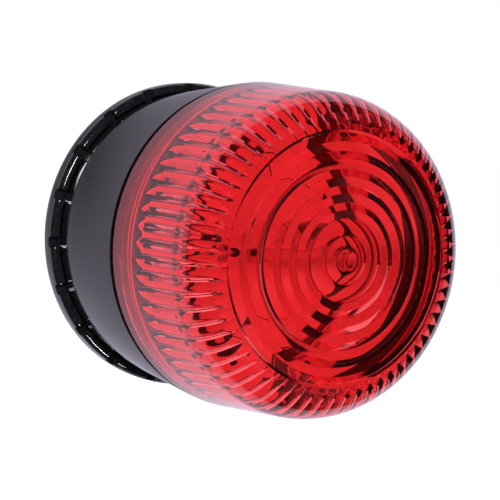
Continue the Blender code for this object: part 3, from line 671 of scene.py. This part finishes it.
def housing_profile():
    skirt_inner = SKIRT_RADIUS - SKIRT_WALL
    skirt_end = HOUSING_REAR - SKIRT_REACH
    plate_low, plate_high = REAR_PLATE
    low, high = PARTITION
    plate_cavity, cavity, rim_inner = REAR_CAVITY_RADII
    profile = [(skirt_inner, skirt_end), (SKIRT_RADIUS, skirt_end), (SKIRT_RADIUS, plate_low)]
    profile += [(rim_inner, plate_low), (rim_inner, HOUSING_REAR)]
    profile += [(HOUSING_REAR_RADIUS - HOUSING_EDGE, HOUSING_REAR)]
    profile += [(HOUSING_REAR_RADIUS, HOUSING_REAR + HOUSING_EDGE)]
    profile += [(HOUSING_FRONT_RADIUS - inward, HOUSING_FRONT - back) for inward, back in FRONT_ROUND]
    profile += [(GASKET_SEAT[0], HOUSING_FRONT), GASKET_SEAT, (BORE_RADIUS, BORE_END)]
    profile += [(BORE_RADIUS, high + 1.0), (cavity, high), (0.0, high), (0.0, low), (cavity, low)]
    profile += [(plate_cavity, plate_high), (skirt_inner, plate_high)]
    return profile


def on_circle(radius, angle):
    angle = math.radians(angle)
    return (radius * math.cos(angle), radius * math.sin(angle))


def lug_span(angle):
    return (angle - LUG_HALF_WIDTH, angle + LUG_HALF_WIDTH)


def window_span(angle):
    return (angle + WINDOW_FROM_LUG[0], angle + WINDOW_FROM_LUG[1])


def build_housing():
    """The black shell with its partition, skirt, lugs, posts, sound ports and rivet holes."""
    housing = turned("housing_shell", housing_profile(), GLOSS_BLACK)
    low, high = PARTITION
    lug_radii = (SKIRT_RADIUS - HEAD_LUG_ROOT, LUG_WALL[0] - LUG_CLEARANCE)
    window_radii = (SKIRT_RADIUS - SKIRT_WALL - WINDOW_REACH[0], SKIRT_RADIUS + WINDOW_REACH[1])
    steps = []
    for angle in LUG_ANGLES:
        steps.append(("UNION", arc_tool(lug_radii, HEAD_LUG, lug_span(angle))))
        steps.append(("DIFFERENCE", arc_tool(window_radii, WINDOW, window_span(angle))))
    for step in range(STACK_COUNT):
        centre = on_circle(STACK_RADIUS, 90.0 + 360.0 / STACK_COUNT * step)
        steps.append(("UNION", round_tool(centre, POST_RADIUS, high - OVERLAP, POST_TOP, segments=36)))
        hole = (high + POST_HOLE_FLOOR, POST_TOP + POST_HOLE_REACH)
        steps.append(("DIFFERENCE", round_tool(centre, SCREW_HOLE_RADIUS, *hole, segments=24)))
    through = (low - OVERLAP, high + OVERLAP)
    for step in range(SOUND_PORT_COUNT):
        centre = on_circle(SOUND_PORT_CIRCLE, 360.0 / SOUND_PORT_COUNT * step)
        steps.append(("DIFFERENCE", round_tool(centre, SOUND_PORT_RADIUS, *through, segments=32)))
    for x in CONTACT_X:
        steps.append(("DIFFERENCE", round_tool((x, CONTACT_Z), SCREW_HOLE_RADIUS, *through, segments=24)))
    apply_booleans(housing, steps)
    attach(housing, "head")
    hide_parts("housing")


# ---------- the base ----------

def collar_edge():
    """The collar's section from its outer wall over a chamfer and a rounded edge to its inner edge."""
    by = COLLAR_ROUND
    level = COLLAR_TOP - by
    points = [(COLLAR_RADIUS - inward, COLLAR_SIDE - back) for inward, back in COLLAR_BREAK]
    points.append((COLLAR_TOP_RADIUS + by * CHAMFER_END, COLLAR_TOP - by * CHAMFER_END))
    points += arc((COLLAR_TOP_RADIUS - by * ROUND_CENTRE, level), (by, by), 45.0, 90.0, 4)[1:-1]
    points.append((COLLAR_TOP_RADIUS - by * FLAT_START, COLLAR_TOP))
    points += arc((COLLAR_INNER + by, level), (by, by), 90.0, 180.0, 4)
    return points


def notched(distance):
    """A point's distance at each angle: lowered in a notch, and rounded beside it."""
    half_angle = NOTCH_WIDTH / COLLAR_RADIUS / 2.0
    pitch = 2.0 * math.pi / NOTCH_COUNT
    corner = NOTCH_CORNER / COLLAR_RADIUS

    def at(angle):
        away = abs((angle - math.pi / 2 + pitch / 2) % pitch - pitch / 2) - half_angle
        if away < 0.0:
            return min(distance, NOTCH_FLOOR)
        if away < corner:
            return distance - NOTCH_CORNER * (1.0 - math.sqrt(1.0 - (1.0 - away / corner) ** 2))
        return distance

    return at


def build_collar():
    """The collar, whose front edge drops to the notches' floor twenty times round with rounded corners."""
    wall_end = NOTCH_FLOOR - NOTCH_MARGIN
    profile = [(SEAM_RADIUS, 0.0)]
    profile += [(COLLAR_RADIUS - inward, outward) for inward, outward in COLLAR_REAR_ROUND]
    profile.append((COLLAR_RADIUS, wall_end))
    profile += [(radius, notched(distance)) for radius, distance in collar_edge()]
    profile += [(COLLAR_INNER, wall_end), (COLLAR_INNER, FLOOR), (SEAM_RADIUS, FLOOR)]
    collar = turned("base_collar", profile, GLOSS_BLACK, segments=NOTCH_COUNT * NOTCH_SEGMENTS)
    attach(collar, "base")
    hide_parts("mounting_base")
    return collar


def floor_profile():
    inner, outer = GASKET_GROOVE
    depth = GASKET_GROOVE_DEPTH
    profile = [(0.0, 0.0), (inner, 0.0), (inner, depth), (outer, depth), (outer, 0.0), (SEAM_RADIUS, 0.0)]
    profile += [(SEAM_RADIUS, LUG_WALL_HEIGHT), (LUG_WALL[0], LUG_WALL_HEIGHT), (LUG_WALL[0], FLOOR)]
    return profile + [(0.0, FLOOR)]


def lug_steps(angle):
    """A base lug with the stops at its two ends, and the sound opening in the wall beside it."""
    radii = (SKIRT_RADIUS + LUG_CLEARANCE, LUG_WALL[0] + LUG_ROOT)
    low, high = lug_span(angle)
    first_end = low - LUG_STOP_GAP
    first_stop = (first_end - LUG_STOP_WIDTH, first_end)
    last_start = high + UNLOCK_TURN + LUG_STOP_GAP
    last_stop = (last_start, last_start + LUG_STOP_WIDTH)
    steps = [("UNION", arc_tool(radii, BASE_LUG, (first_stop[0], high)))]
    for stop in (first_stop, last_stop):
        steps.append(("UNION", arc_tool(radii, (FLOOR - OVERLAP, BASE_LUG[1] - LUG_STOP_STEP), stop)))
    opening_radii = (LUG_WALL[0] - OVERLAP, LUG_WALL[1] + OVERLAP)
    opening = (WALL_OPENING, LUG_WALL_HEIGHT + OVERLAP)
    steps.append(("DIFFERENCE", arc_tool(opening_radii, opening, window_span(angle))))
    return steps


def slot_steps(x, through):
    """An upright slot for a wall screw: a block with a round end above and below."""
    half = WALL_SLOT[0] / 2.0
    reach = (WALL_SLOT[1] - WALL_SLOT[0]) / 2.0
    steps = [("DIFFERENCE", block_tool((x - half, x + half), through, (-reach, reach)))]
    for end in (-reach, reach):
        steps.append(("DIFFERENCE", round_tool((x, end), half, *through, segments=36)))
    return steps


def build_floor():
    """The base's floor with the gasket's groove, lug wall, cable entry, screw slots and posts."""
    floor = turned("base_floor", floor_profile(), GLOSS_BLACK, segments=FLOOR_SEGMENTS)
    through = (-OVERLAP, FLOOR + OVERLAP)
    foot = FLOOR - 2.0 * OVERLAP
    guide_inner, guide_outer = TAMPER_GUIDE_RADII
    bore = (FLOOR, TAMPER_GUIDE_TOP + OVERLAP)
    steps = [("UNION", round_tool(TAMPER, guide_outer, foot, TAMPER_GUIDE_TOP, segments=56))]
    steps.append(("DIFFERENCE", round_tool(TAMPER, guide_inner, *bore, segments=56)))
    for angle in LUG_ANGLES:
        steps += lug_steps(angle)
    for post in BASE_POSTS:
        steps.append(("UNION", round_tool(post, POST_RADIUS, foot, BASE_POST_TOP, segments=32)))
        hole = (BASE_POST_HOLE_FLOOR, BASE_POST_TOP + OVERLAP)
        steps.append(("DIFFERENCE", round_tool(post, SCREW_HOLE_RADIUS, *hole, segments=24)))
    steps.append(("DIFFERENCE", round_tool(CABLE_ENTRY, CABLE_ENTRY_RADIUS, *through, segments=64)))
    steps.append(("DIFFERENCE", round_tool(TAMPER, TAMPER_HOLE_RADIUS, *through, segments=40)))
    for side in (-1.0, 1.0):
        steps += slot_steps(side * WALL_SLOT_X, through)
    apply_booleans(floor, steps)
    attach(floor, "base")
    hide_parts("mounting_base")


# ---------- smaller pieces ----------

def build_gasket():
    rear = HOUSING_FRONT + GASKET_GAP
    front = LENS_REAR - GASKET_GAP
    inward, along = GASKET_EDGE
    profile = [(GASKET_INNER, rear), (GASKET_RADIUS - inward, rear), (GASKET_RADIUS, rear + along)]
    profile += [(GASKET_RADIUS, front - along), (GASKET_RADIUS - inward, front), (GASKET_INNER, front)]
    gasket = turned("lens_seal", profile, RUBBER)
    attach(gasket, "head")
    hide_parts("lens_gasket")


def build_tamper_spring():
    """The coil from the plunger's flange to the terminal board."""
    low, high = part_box("tamper_spring")
    start = -high.y / MM + SPRING_WIRE
    end = -low.y / MM - SPRING_WIRE
    coil_radius = (high.x - low.x) / MM / 2.0 - SPRING_WIRE
    shape = bmesh.new()
    sections = []
    for step in range(SPRING_STEPS + 1):
        share = step / SPRING_STEPS
        angle = 2.0 * math.pi * SPRING_TURNS * share
        section = []
        for side in range(SPRING_SIDES):
            around = 2.0 * math.pi * side / SPRING_SIDES
            radius = coil_radius + SPRING_WIRE * math.cos(around)
            distance = between(start, end, share) + SPRING_WIRE * math.sin(around)
            x = TAMPER[0] + radius * math.cos(angle)
            z = TAMPER[1] + radius * math.sin(angle)
            section.append(shape.verts.new(place(x, distance, z)))
        sections.append(section)
    sweep(shape, sections)
    spring = new_object("plunger_spring", shape, STEEL, sharp=60.0)
    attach(spring, "base")
    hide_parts("tamper_spring")
    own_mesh(spring)


def dress_nodes():
    for row in frame["record"]["subparts"]:
        node = frame["nodes"][row["node"]]
        node.data.materials.clear()
        node.data.materials.append(LOOKS[row["material_slot"]])


# ---------- camera, light and floor ----------

def build_camera():
    data = bpy.data.cameras.new("camera")
    data.lens = CAMERA_LENS
    data.sensor_width = CAMERA_SENSOR
    data.clip_start = CAMERA_CLIP
    camera = bpy.data.objects.new("camera", data)
    bpy.context.scene.collection.objects.link(camera)
    a, e = math.radians(CAMERA_AZIMUTH), math.radians(CAMERA_ELEVATION)
    back = Vector((math.sin(a) * math.cos(e), -math.cos(a) * math.cos(e), math.sin(e)))
    rotation = back.to_track_quat("Z", "Y")
    right = rotation @ Vector((1.0, 0.0, 0.0))
    up = rotation @ Vector((0.0, 1.0, 0.0))
    rim = place(0.0, LENS_REAR, 0.0)
    shift = CAMERA_DISTANCE * back - CAMERA_ASIDE * right - CAMERA_ABOVE * up
    camera.location = rim + LENS_RADIUS * MM * shift
    camera.rotation_mode = "QUATERNION"
    camera.rotation_quaternion = rotation
    bpy.context.scene.camera = camera


def area_light(name, location, target, size, power):
    data = bpy.data.lights.new(name, "AREA")
    data.shape = "RECTANGLE"
    data.size, data.size_y = size
    data.energy = power
    light = bpy.data.objects.new(name, data)
    light.location = location
    light.rotation_mode = "QUATERNION"
    light.rotation_quaternion = (Vector(location) - Vector(target)).to_track_quat("Z", "Y")
    bpy.context.scene.collection.objects.link(light)
    light.visible_transmission = False
    return light


def build_world():
    """Dark in front of the siren, bright at its sides and dimmer behind it, on a plain white background."""
    world = bpy.data.worlds.new("studio")
    bpy.context.scene.world = world
    world.use_nodes = True
    tree = world.node_tree
    direction = split_coordinates(tree, "Generated")
    behind = mapped(tree, direction["Z"], BEHIND_BAND, *BEHIND_STRENGTH)
    back_half = mapped(tree, direction["Y"], BACK_BAND, SIDE_STRENGTH, behind)
    around = mapped(tree, direction["Y"], FRONT_BAND, FRONT_STRENGTH, back_half)
    studio = tree.nodes["Background"]
    studio.inputs["Color"].default_value = STUDIO_COLOUR
    tree.links.new(around, studio.inputs["Strength"])
    plain = tree.nodes.new("ShaderNodeBackground")
    plain.inputs["Color"].default_value = grey(1.0)
    backgrounds = (studio.outputs["Background"], plain.outputs["Background"])
    choose_by_ray(tree, "Is Camera Ray", *backgrounds, "World Output")


def build_stage():
    shape = bmesh.new()
    corners = [(-1, -1), (1, -1), (1, 1), (-1, 1)]
    shape.faces.new([shape.verts.new((x * FLOOR_HALF, y * FLOOR_HALF, FLOOR_LEVEL)) for x, y in corners])
    mat, tree, shader = node_material("floor_white")
    shader.inputs["Base Color"].default_value = grey(0.95)
    shader.inputs["Roughness"].default_value = 0.9
    shader.inputs["Emission Color"].default_value = grey(1.0)
    path = tree.nodes.new("ShaderNodeLightPath")
    glow = mapped(tree, path.outputs["Is Camera Ray"], (0.0, 1.0), *FLOOR_GLOW)
    tree.links.new(glow, shader.inputs["Emission Strength"])
    floor = new_object("floor", shape, mat)
    floor.visible_glossy = False


def build_lights(collar):
    """Two lamps light the siren unseen, and two only make the highlights along the collar's edges."""
    target = place(0.0, KEY_TARGET, 0.0)
    for name, location, size, power in KEY_LAMPS:
        area_light(name, location, target, size, power).visible_glossy = False
    receivers = bpy.data.collections.new("collar_edge")
    receivers.objects.link(collar)
    middle = place(0.0, EDGE_TARGET, 0.0)
    for name, direction in EDGE_LAMPS:
        location = middle + Vector(direction).normalized() * EDGE_DISTANCE
        light = area_light(name, location, middle, EDGE_SIZE, EDGE_POWER)
        light.data.diffuse_factor = 0.0
        light.light_linking.receiver_collection = receivers


collar = build_collar()
build_floor()
build_housing()
build_gasket()
build_lens()
build_tamper_spring()
dress_nodes()
build_camera()
build_world()
build_stage()
build_lights(collar)

scene = bpy.context.scene
scene.view_settings.view_transform = "Standard"
